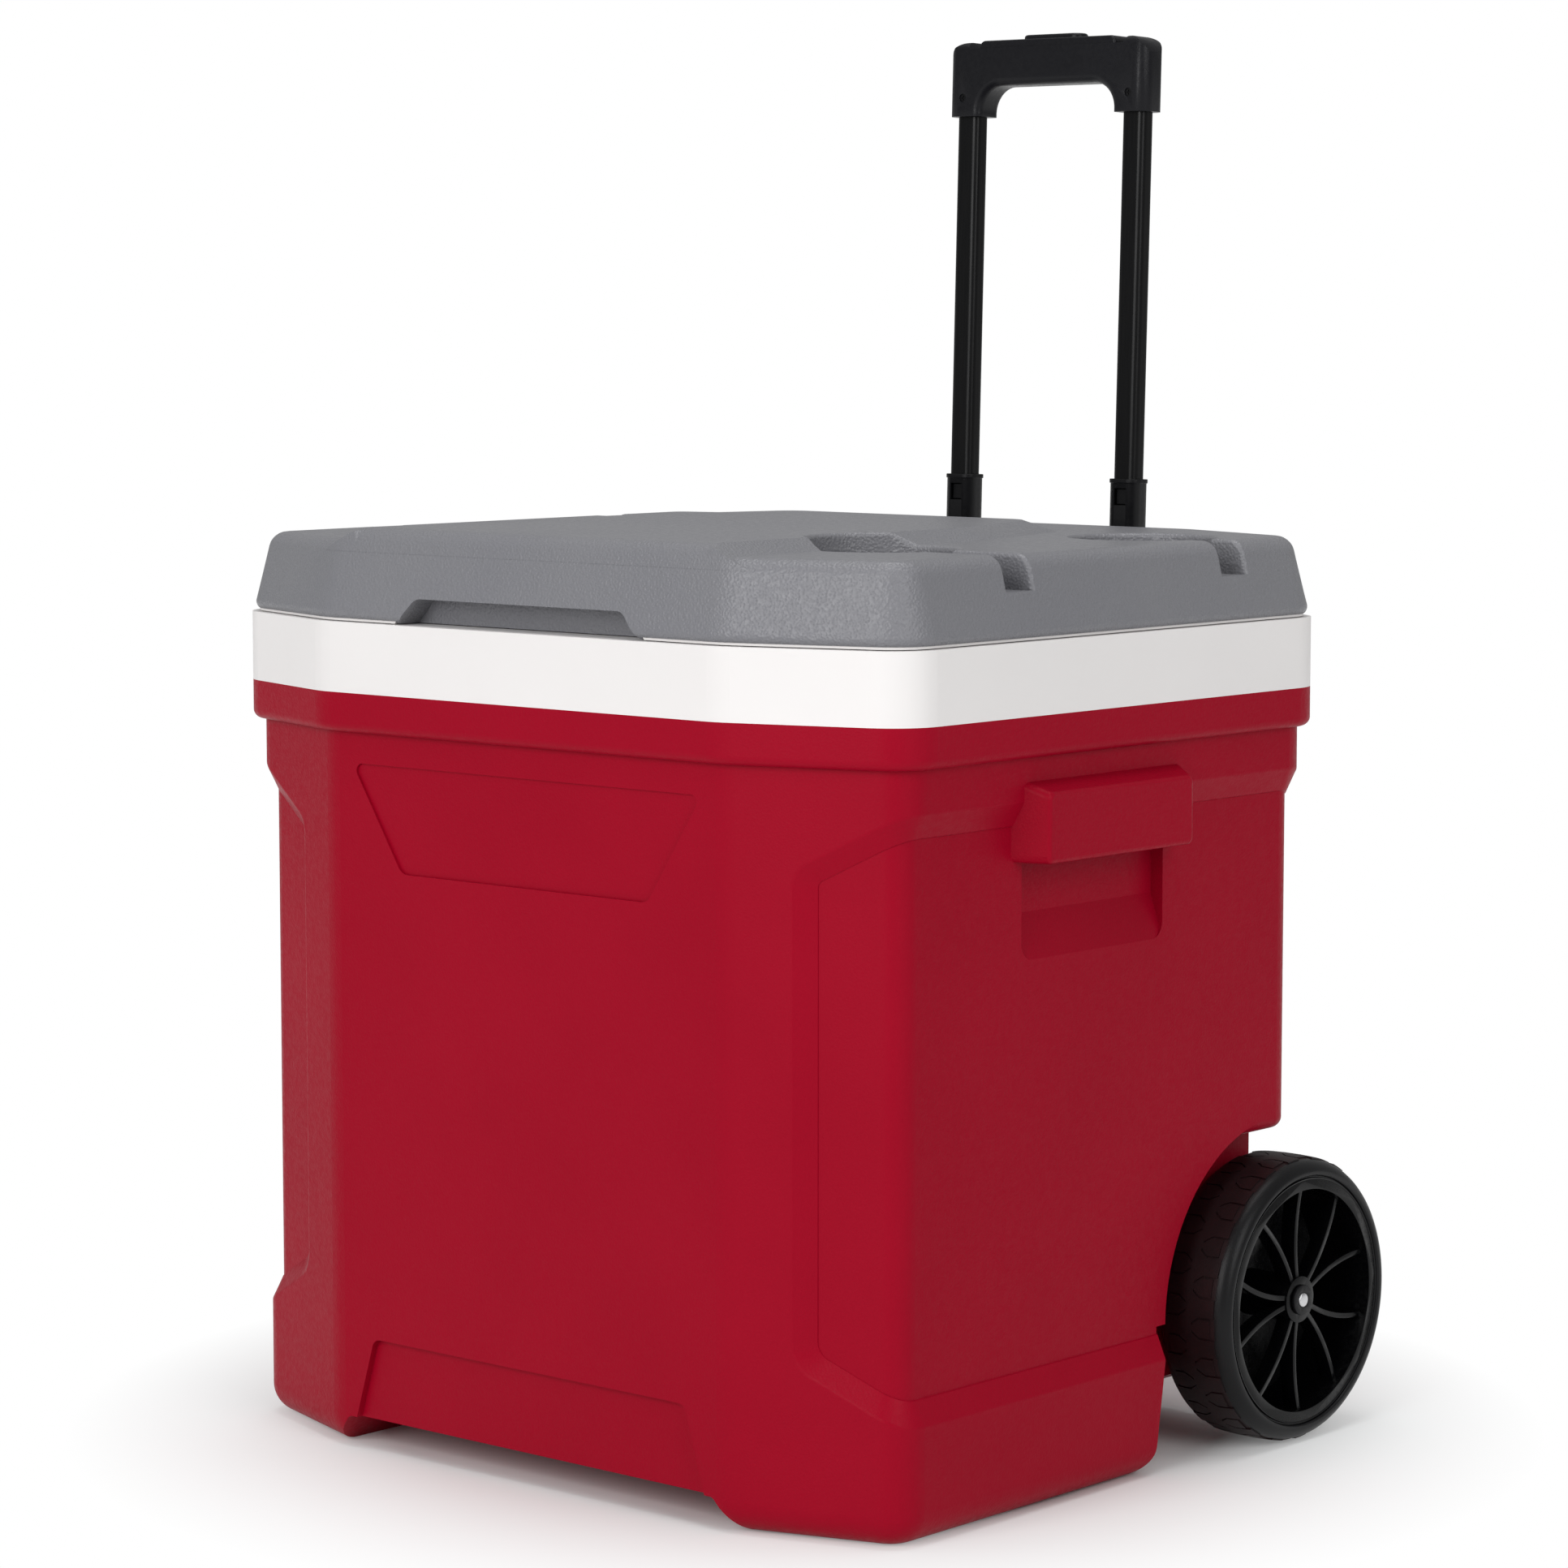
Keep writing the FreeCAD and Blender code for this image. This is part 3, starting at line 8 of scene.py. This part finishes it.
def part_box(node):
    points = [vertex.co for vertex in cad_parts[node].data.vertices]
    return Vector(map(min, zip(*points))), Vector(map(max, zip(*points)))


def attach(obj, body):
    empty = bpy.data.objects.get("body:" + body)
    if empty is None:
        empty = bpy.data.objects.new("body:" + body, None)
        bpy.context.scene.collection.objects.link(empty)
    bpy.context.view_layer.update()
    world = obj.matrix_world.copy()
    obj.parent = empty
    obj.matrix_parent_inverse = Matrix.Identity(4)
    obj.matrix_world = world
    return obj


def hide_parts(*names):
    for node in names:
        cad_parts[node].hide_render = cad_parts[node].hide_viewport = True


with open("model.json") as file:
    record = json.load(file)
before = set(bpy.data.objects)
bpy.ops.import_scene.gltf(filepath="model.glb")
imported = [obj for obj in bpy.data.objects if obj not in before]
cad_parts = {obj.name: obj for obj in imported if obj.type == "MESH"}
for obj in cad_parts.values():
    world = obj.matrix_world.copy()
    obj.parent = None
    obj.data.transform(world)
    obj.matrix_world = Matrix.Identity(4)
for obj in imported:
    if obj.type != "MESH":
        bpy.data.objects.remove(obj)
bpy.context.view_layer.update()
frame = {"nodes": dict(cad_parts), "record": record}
nodes = frame["nodes"]

# Lengths are in metres, and the angles named up here in degrees, unless a name says otherwise.
weld = 0.00001                  # points nearer than this are one

# ---- edges -----------------------------------------------------------------------------------------
moulded_round = 0.0008          # rims, grip and the axle's ends
retainer_round = 0.0004
collar_round = 0.0003
flat_angle = 0.5                # faces that meet at less than this are merged
corner_angle = 30               # edges sharper than this are rounded
smooth_angle = 40               # edges sharper than this stay crisp in the shading
tread_smooth_angle = 35

# ---- tread of the tyres ----------------------------------------------------------------------------
groove_pairs = 22
cell_steps = 8
tread_steps = groove_pairs * 2 * cell_steps
groove_width = 0.0012
block_height = 0.0008
narrow_edge = 0.0096            # from the tyre's side to the tread, on every other block ...
wide_edge = 0.0071              # ... and on the blocks between
groove_bend = 0.0165            # where a groove turns aside ...
groove_end = 0.0215             # ... and where it ends
groove_turn = 0.0036
tread_skin = 0.0015             # faces that lie less deep than this belong to the tread
# how far in from the tyre's side, and how far down from its tread, from the bead to the middle
shoulder = ((0.0030, 0.0112), (0.0014, 0.0111), (0.0011, 0.0105), (0.0023, 0.0101), (0.0023, 0.0096),
            (0.0009, 0.0092), (0.0002, 0.0085), (0.0, 0.0073), (0.0003, 0.0060), (0.0010, 0.0046),
            (0.0021, 0.0033), (0.0036, 0.0021), (0.0053, 0.0012), (wide_edge, 0.0007),
            (narrow_edge, 0.0004), (0.0130, 0.0002), (groove_bend, 0.0001), (0.0190, 0.0), (groove_end, 0.0))

# ---- studio's numbers ------------------------------------------------------------------------------
world_level = 0.4
floor_half_size = 6
floor_colour = (0.9, 0.915, 0.915, 1)
floor_fade = (0.24, 0.42)       # from the middle: the shadow starts to fade, and has gone
lamp_aim = (0, 0, 0.3)
# name, place, width, height and watts
lamps = (("key", (0.3, -3.0, 1.5), 1.8, 1.8, 48.5),
         ("side", (2.8, -0.7, 1.6), 1.2, 1.8, 23),
         ("top", (0.1, 0.0, 2.6), 1.6, 1.6, 23))
camera_spot = (1.7385, -1.9981, 0.6360)
camera_down = 5.90
camera_turn = 41.29
camera_lens_mm = 108.04
camera_sensor_mm = 36

# ---- moulded plastics: colours as 0 to 255 on a screen ---------------------------------------------
gloss_spread = 0.06             # how far the roughness strays either way
tone_lump = 0.11                # size of the slow changes of colour
noise_low, noise_high = 0.3, 0.7
moulded_looks = {
    "red_shell": dict(colour=(151, 5, 33), shade=(147, 3, 31), roughness=0.42, specular=0.07,
                      grain=0.0012, grain_depth=0.00009, lump=0.02, lump_depth=0.00014),
    "grey_lid": dict(colour=(119, 119, 123), shade=(115, 115, 120), roughness=0.4, specular=0.5,
                     grain=0.0014, grain_depth=0.00042, lump=0.03, lump_depth=0.0001),
    "white_liner": dict(colour=(231, 228, 227), shade=(228, 225, 224), roughness=0.4, specular=0.25,
                        grain=0.0012, grain_depth=0.00001),
    "black_plastic": dict(colour=(15, 15, 17), shade=(12, 12, 14), roughness=0.4, specular=0.18,
                          grain=0.0009, grain_depth=0.00004),
    "grip_plastic": dict(colour=(18, 18, 22), shade=(14, 14, 18), roughness=0.36, specular=0.2,
                         grain=0.0008, grain_depth=0.00005),
    "wheel_plastic": dict(colour=(5, 5, 6), shade=(4, 4, 5), roughness=0.24, specular=0.16,
                          grain=0.0012, grain_depth=0.00001),
}


# ---- finishes --------------------------------------------------------------------------------------
def linear(red, green, blue):
    """The shader's colour for one given as 0 to 255 on a screen."""
    channels = []
    for value in (red, green, blue):
        share = value / 255
        channels.append(share / 12.92 if share <= 0.04045 else ((share + 0.055) / 1.055) ** 2.4)
    return (*channels, 1)


def finish(name, colour, roughness, specular=0.5, metallic=0.0, coat=0.0):
    """A new material with its plain numbers set. Returns it with its node tree and shader."""
    material = bpy.data.materials.new(name)
    material.use_nodes = True
    tree = material.node_tree
    shader = tree.nodes["Principled BSDF"]
    shader.inputs["Base Color"].default_value = colour
    shader.inputs["Roughness"].default_value = roughness
    shader.inputs["Specular IOR Level"].default_value = specular
    shader.inputs["Metallic"].default_value = metallic
    shader.inputs["Coat Weight"].default_value = coat
    return material, tree, shader


def place(tree, squeeze=(1, 1, 1)):
    """The object's own coordinates, in metres."""
    coordinates = tree.nodes.new("ShaderNodeTexCoord")
    mapping = tree.nodes.new("ShaderNodeMapping")
    mapping.inputs["Scale"].default_value = squeeze
    tree.links.new(coordinates.outputs["Object"], mapping.inputs["Vector"])
    return mapping.outputs["Vector"]


def noise(tree, vector, size, detail):
    """Noise whose lumps are this many metres across."""
    texture = tree.nodes.new("ShaderNodeTexNoise")
    texture.inputs["Scale"].default_value = 1 / size
    texture.inputs["Detail"].default_value = detail
    tree.links.new(vector, texture.inputs["Vector"])
    return texture.outputs["Fac"]


def pebbles(tree, vector, size):
    """Rounded leather-like cells this many metres across."""
    texture = tree.nodes.new("ShaderNodeTexVoronoi")
    texture.feature = "SMOOTH_F1"
    texture.inputs["Scale"].default_value = 1 / size
    texture.inputs["Smoothness"].default_value = 0.6
    tree.links.new(vector, texture.inputs["Vector"])
    return texture.outputs["Distance"]


def ranged(tree, value, low_in, high_in, low_out=0.0, high_out=1.0):
    """The value carried over from one range to another, and held inside it."""
    remap = tree.nodes.new("ShaderNodeMapRange")
    remap.inputs["From Min"].default_value = low_in
    remap.inputs["From Max"].default_value = high_in
    remap.inputs["To Min"].default_value = low_out
    remap.inputs["To Max"].default_value = high_out
    tree.links.new(value, remap.inputs["Value"])
    return remap.outputs["Result"]


def varied(tree, value, first, second):
    """Two colours mixed by value."""
    mix = tree.nodes.new("ShaderNodeMix")
    mix.data_type = "RGBA"
    mix.inputs["A"].default_value = first
    mix.inputs["B"].default_value = second
    tree.links.new(value, mix.inputs["Factor"])
    return mix.outputs["Result"]


def bumped(tree, height, depth, under=None):
    """A normal for this height, on top of another one where it is given."""
    bump = tree.nodes.new("ShaderNodeBump")
    bump.inputs["Strength"].default_value = 1
    bump.inputs["Distance"].default_value = depth
    tree.links.new(height, bump.inputs["Height"])
    if under is not None:
        tree.links.new(under, bump.inputs["Normal"])
    return bump.outputs["Normal"]


def moulded(name, colour, shade, roughness, specular, grain, grain_depth, lump=0.0, lump_depth=0.0):
    """Moulded plastic: leather grain over faint lumps, with slow changes of colour and gloss."""
    material, tree, shader = finish(name, linear(*colour), roughness, specular)
    vector = place(tree)
    slow = noise(tree, vector, tone_lump, 3.0)
    tone = ranged(tree, slow, noise_low, noise_high)
    tree.links.new(varied(tree, tone, linear(*colour), linear(*shade)), shader.inputs["Base Color"])
    fine = noise(tree, vector, grain * 2.5, 3.0)
    gloss = ranged(tree, fine, 0.35, 0.65, roughness - gloss_spread, roughness + gloss_spread)
    tree.links.new(gloss, shader.inputs["Roughness"])
    normal = None
    if lump:
        normal = bumped(tree, noise(tree, vector, lump, 1.0), lump_depth)
    normal = bumped(tree, pebbles(tree, vector, grain), grain_depth, normal)
    tree.links.new(normal, shader.inputs["Normal"])
    return material


def tyre_rubber(tread_start):
    """Black rubber that is browner and duller on the tread than on the shoulders."""
    material, tree, shader = finish("tyre", linear(14, 12, 13), 0.42, specular=0.22)
    vector = place(tree)
    parts = tree.nodes.new("ShaderNodeSeparateXYZ")
    tree.links.new(vector, parts.inputs[0])
    side = tree.nodes.new("ShaderNodeMath")
    side.operation = "ABSOLUTE"
    tree.links.new(parts.outputs["X"], side.inputs[0])
    dust = noise(tree, vector, 0.012, 3.0)
    tone = varied(tree, ranged(tree, dust, noise_low, noise_high), linear(31, 13, 15), linear(23, 10, 12))
    on_side = ranged(tree, side.outputs[0], tread_start - 0.0004, tread_start + 0.0004)
    mix = tree.nodes.new("ShaderNodeMix")
    mix.data_type = "RGBA"
    mix.inputs["B"].default_value = linear(11, 11, 13)
    tree.links.new(tone, mix.inputs["A"])
    tree.links.new(on_side, mix.inputs["Factor"])
    tree.links.new(mix.outputs["Result"], shader.inputs["Base Color"])
    tree.links.new(ranged(tree, on_side, 0.0, 1.0, 0.5, 0.36), shader.inputs["Roughness"])
    grain = bumped(tree, pebbles(tree, vector, 0.0008), 0.00005)
    tree.links.new(grain, shader.inputs["Normal"])
    return material


def painted_tube():
    """Black paint on drawn tube, with faint streaks along it."""
    material, tree, shader = finish("black_tube", linear(7, 7, 8), 0.27, specular=0.16, coat=0.04)
    vector = place(tree, (1, 1, 0.02))
    streaks = noise(tree, vector, 0.0012, 2.0)
    tree.links.new(ranged(tree, streaks, noise_low, noise_high, 0.22, 0.33), shader.inputs["Roughness"])
    tree.links.new(varied(tree, streaks, linear(6, 6, 7), linear(9, 9, 10)), shader.inputs["Base Color"])
    tree.links.new(bumped(tree, streaks, 0.00001), shader.inputs["Normal"])
    shader.inputs["Coat Roughness"].default_value = 0.2
    return material


def turned_steel():
    """Zinc-plated steel with fine turning marks."""
    material, tree, shader = finish("bright_steel", linear(205, 205, 208), 0.3, metallic=1.0)
    vector = place(tree)
    marks = noise(tree, vector, 0.0006, 3.0)
    tree.links.new(ranged(tree, marks, noise_low, noise_high, 0.24, 0.4), shader.inputs["Roughness"])
    tone = varied(tree, marks, linear(196, 196, 200), linear(214, 214, 214))
    tree.links.new(tone, shader.inputs["Base Color"])
    tree.links.new(bumped(tree, marks, 0.00001), shader.inputs["Normal"])
    return material


def foam_block():
    """Pale rigid foam with closed cells."""
    material, tree, shader = finish("foam", linear(238, 228, 196), 0.9, specular=0.2)
    vector = place(tree)
    cells = pebbles(tree, vector, 0.002)
    tone = varied(tree, cells, linear(228, 216, 180), linear(242, 233, 204))
    tree.links.new(tone, shader.inputs["Base Color"])
    tree.links.new(bumped(tree, cells, 0.0002), shader.inputs["Normal"])
    return material


finishes = {slot: moulded(slot, **look) for slot, look in moulded_looks.items()}
finishes["tyre"] = tyre_rubber(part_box("tyre_right")[1][0] - wide_edge)
finishes["black_tube"] = painted_tube()
finishes["bright_steel"] = turned_steel()
finishes["foam"] = foam_block()


def dress_solids():
    """Every node of the model takes the finish of its own slot."""
    for part in frame["record"]["subparts"]:
        mesh = nodes[part["node"]].data
        mesh.materials.clear()
        mesh.materials.append(finishes[part["material_slot"]])


dress_solids()


# ---- pieces ----------------------------------------------------------------------------------------
body_of = {node: body for body, held in frame["record"]["behaviour"]["bodies"].items() for node in held}
slot_of = {part["node"]: part["material_slot"] for part in frame["record"]["subparts"]}


def finished(bm, name, node, crisp_angle):
    """Makes a piece that stands for a node, rides with it and takes its finish."""
    mesh = bpy.data.meshes.new(name)
    bm.to_mesh(mesh)
    bm.free()
    mesh.polygons.foreach_set("use_smooth", [True] * len(mesh.polygons))
    mesh.set_sharp_from_angle(angle=math.radians(crisp_angle))
    mesh.materials.append(finishes[slot_of[node]])
    piece = bpy.data.objects.new(name, mesh)
    bpy.context.scene.collection.objects.link(piece)
    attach(piece, body_of[node])
    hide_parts(node)
    return piece


def softened(node, width):
    """A merged copy of a node with its corners rounded off by this width."""
    bm = bmesh.new()
    bm.from_mesh(nodes[node].data)
    bmesh.ops.remove_doubles(bm, verts=bm.verts, dist=weld)
    bmesh.ops.dissolve_limit(bm, angle_limit=math.radians(flat_angle), verts=bm.verts, edges=bm.edges)
    corners = [edge for edge in bm.edges
               if edge.is_manifold and edge.calc_face_angle() > math.radians(corner_angle)]
    bmesh.ops.bevel(bm, geom=corners, offset=width, offset_type="OFFSET", segments=2, profile=0.5,
                    affect="EDGES", material=-1, clamp_overlap=True)
    return finished(bm, node + "_soft", node, smooth_angle)


for side in ("left", "right"):
    softened("wheel_rim_" + side, moulded_round)
    softened("axle_retainer_" + side, retainer_round)
    softened("collar_" + side, collar_round)
softened("grip_shell", moulded_round)
softened("axle", moulded_round)


def ringed(bm, middle, steps):
    """Spins the open line in bm round the axle's line into a closed ring."""
    line = bm.verts[:] + bm.edges[:]
    bmesh.ops.spin(bm, geom=line, cent=middle, axis=(1, 0, 0), angle=2 * math.pi, steps=steps, use_merge=True)
    bmesh.ops.remove_doubles(bm, verts=bm.verts, dist=weld)
    bmesh.ops.recalc_face_normals(bm, faces=bm.faces)


def profile_line(bm, middle, sign, section):
    """The closed line through section's (out, radius) points, standing up from the axle's line."""
    corners = [bm.verts.new((middle.x + sign * x, middle.y, middle.z + r)) for x, r in section]
    for near, away in zip(corners, corners[1:] + corners[:1]):
        bm.edges.new((near, away))


def tread_blocks(bm, middle, half, radius, cell):
    """The faces of the tread that stand up as blocks between the grooves."""
    blocks = []
    for face in bm.faces:
        spot = face.calc_center_median() - middle
        turn = math.atan2(spot.y, spot.z) % (2 * math.pi)
        across = half - abs(spot.x)
        if math.hypot(spot.y, spot.z) < radius - tread_skin or across < wide_edge:
            continue
        row = 0 if spot.x > 0 else 1
        number = int(turn / cell)
        in_groove = int(turn / cell * cell_steps) % cell_steps == 0 and across < groove_end
        narrow = (number + row) % 2 == 0 and across < narrow_edge
        if not in_groove and not narrow:
            blocks.append(face)
    return blocks


def bend_grooves(bm, middle, half, radius, cell):
    """Narrows each groove to its width and turns its inner end aside, by turns to either side."""
    sunk = cell / cell_steps
    for vert in bm.verts:
        spot = vert.co - middle
        turn = math.atan2(spot.y, spot.z)
        number = round(turn / cell - 0.5 / cell_steps)
        aside = turn - (number + 0.5 / cell_steps) * cell
        narrowed = math.copysign(min(abs(aside), sunk / 2), aside) * (1 - groove_width / (sunk * radius))
        fade = max(0.0, 1 - (abs(aside) - sunk / 2) / (cell / 2 - sunk / 2))
        across = half - abs(spot.x)
        lean = min(1.0, max(0.0, (across - groove_bend) / (groove_end - groove_bend)))
        way = 1 if (number + (0 if spot.x > 0 else 1)) % 2 == 0 else -1
        shift = way * lean * groove_turn / radius * math.cos(math.pi * min(1.0, abs(aside) / cell))
        reach = math.hypot(spot.y, spot.z)
        turn += shift - narrowed * fade
        vert.co = middle + Vector((spot.x, reach * math.sin(turn), reach * math.cos(turn)))


def raise_blocks(bm, middle, blocks):
    """Lifts the blocks off the tread, away from the axle."""
    raised = bmesh.ops.extrude_face_region(bm, geom=blocks)["geom"]
    bmesh.ops.delete(bm, geom=blocks, context="FACES_ONLY")
    for vert in [item for item in raised if isinstance(item, bmesh.types.BMVert)]:
        out = Vector((0, vert.co.y - middle.y, vert.co.z - middle.z))
        vert.co += out.normalized() * block_height
    bmesh.ops.recalc_face_normals(bm, faces=bm.faces)


def tyre(side, sign):
    """A tyre with smooth round shoulders and a tread of claw-shaped blocks between fine grooves."""
    node = "tyre_" + side
    low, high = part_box(node)
    middle = Vector(((low[0] + high[0]) / 2, (low[1] + high[1]) / 2, (low[2] + high[2]) / 2))
    half = (high[0] - low[0]) / 2
    radius = (high[2] - low[2]) / 2 - block_height
    section = [(half - x, radius - r) for x, r in shoulder]
    section += [(-x, r) for x, r in reversed(section)]
    cell = 2 * math.pi / (groove_pairs * 2)
    bm = bmesh.new()
    profile_line(bm, middle, sign, section)
    ringed(bm, middle, tread_steps)
    blocks = tread_blocks(bm, middle, half, radius, cell)
    bend_grooves(bm, middle, half, radius, cell)
    raise_blocks(bm, middle, blocks)
    finished(bm, node + "_tread", node, tread_smooth_angle)


tyre("right", 1)
tyre("left", -1)


# ---- studio ----------------------------------------------------------------------------------------
def studio_floor():
    """A pale floor that keeps the soft shadow and fades to white away from the cooler."""
    bm = bmesh.new()
    bmesh.ops.create_grid(bm, x_segments=2, y_segments=2, size=floor_half_size)
    mesh = bpy.data.meshes.new("floor")
    bm.to_mesh(mesh)
    bm.free()
    floor = bpy.data.objects.new("floor", mesh)
    bpy.context.scene.collection.objects.link(floor)
    material, tree, shader = finish("floor", floor_colour, 0.9, specular=0.0)
    glow = tree.nodes.new("ShaderNodeEmission")
    path = tree.nodes.new("ShaderNodeLightPath")
    coordinates = tree.nodes.new("ShaderNodeTexCoord")
    reach = tree.nodes.new("ShaderNodeVectorMath")
    reach.operation = "LENGTH"
    tree.links.new(coordinates.outputs["Object"], reach.inputs[0])
    far = ranged(tree, reach.outputs["Value"], *floor_fade)
    seen = tree.nodes.new("ShaderNodeMath")
    seen.operation = "MAXIMUM"
    tree.links.new(path.outputs["Is Camera Ray"], seen.inputs[0])
    tree.links.new(path.outputs["Is Glossy Ray"], seen.inputs[1])
    share = tree.nodes.new("ShaderNodeMath")
    share.operation = "MULTIPLY"
    tree.links.new(seen.outputs[0], share.inputs[0])
    tree.links.new(far, share.inputs[1])
    mix = tree.nodes.new("ShaderNodeMixShader")
    tree.links.new(share.outputs[0], mix.inputs[0])
    tree.links.new(shader.outputs[0], mix.inputs[1])
    tree.links.new(glow.outputs[0], mix.inputs[2])
    tree.links.new(mix.outputs[0], tree.nodes["Material Output"].inputs["Surface"])
    mesh.materials.append(material)


def studio_world(level):
    """White to the camera, and this bright to everything that it lights."""
    world = bpy.data.worlds.new("studio")
    world.use_nodes = True
    bpy.context.scene.world = world
    tree = world.node_tree
    lit = tree.nodes["Background"]
    lit.inputs["Color"].default_value = (1, 1, 1, 1)
    lit.inputs["Strength"].default_value = level
    white = tree.nodes.new("ShaderNodeBackground")
    white.inputs["Color"].default_value = (1, 1, 1, 1)
    white.inputs["Strength"].default_value = 1
    path = tree.nodes.new("ShaderNodeLightPath")
    mix = tree.nodes.new("ShaderNodeMixShader")
    tree.links.new(path.outputs["Is Camera Ray"], mix.inputs[0])
    tree.links.new(lit.outputs[0], mix.inputs[1])
    tree.links.new(white.outputs[0], mix.inputs[2])
    tree.links.new(mix.outputs[0], tree.nodes["World Output"].inputs["Surface"])


def softbox(name, spot, width, height, power):
    """A lit panel that faces the cooler."""
    light = bpy.data.lights.new(name, "AREA")
    light.shape = "RECTANGLE"
    light.size = width
    light.size_y = height
    light.energy = power
    lamp = bpy.data.objects.new(name, light)
    bpy.context.scene.collection.objects.link(lamp)
    aim = Vector(lamp_aim) - Vector(spot)
    lamp.matrix_world = Matrix.Translation(spot) @ aim.to_track_quat("-Z", "Y").to_matrix().to_4x4()


def studio_camera():
    lens = bpy.data.cameras.new("camera")
    lens.lens = camera_lens_mm
    lens.sensor_width = camera_sensor_mm
    camera = bpy.data.objects.new("camera", lens)
    camera.location = camera_spot
    camera.rotation_euler = (math.radians(90 - camera_down), 0, math.radians(camera_turn))
    bpy.context.scene.collection.objects.link(camera)
    bpy.context.scene.camera = camera


studio_floor()
studio_world(world_level)
for lamp in lamps:
    softbox(*lamp)
studio_camera()
bpy.context.scene.view_settings.view_transform = "Standard"
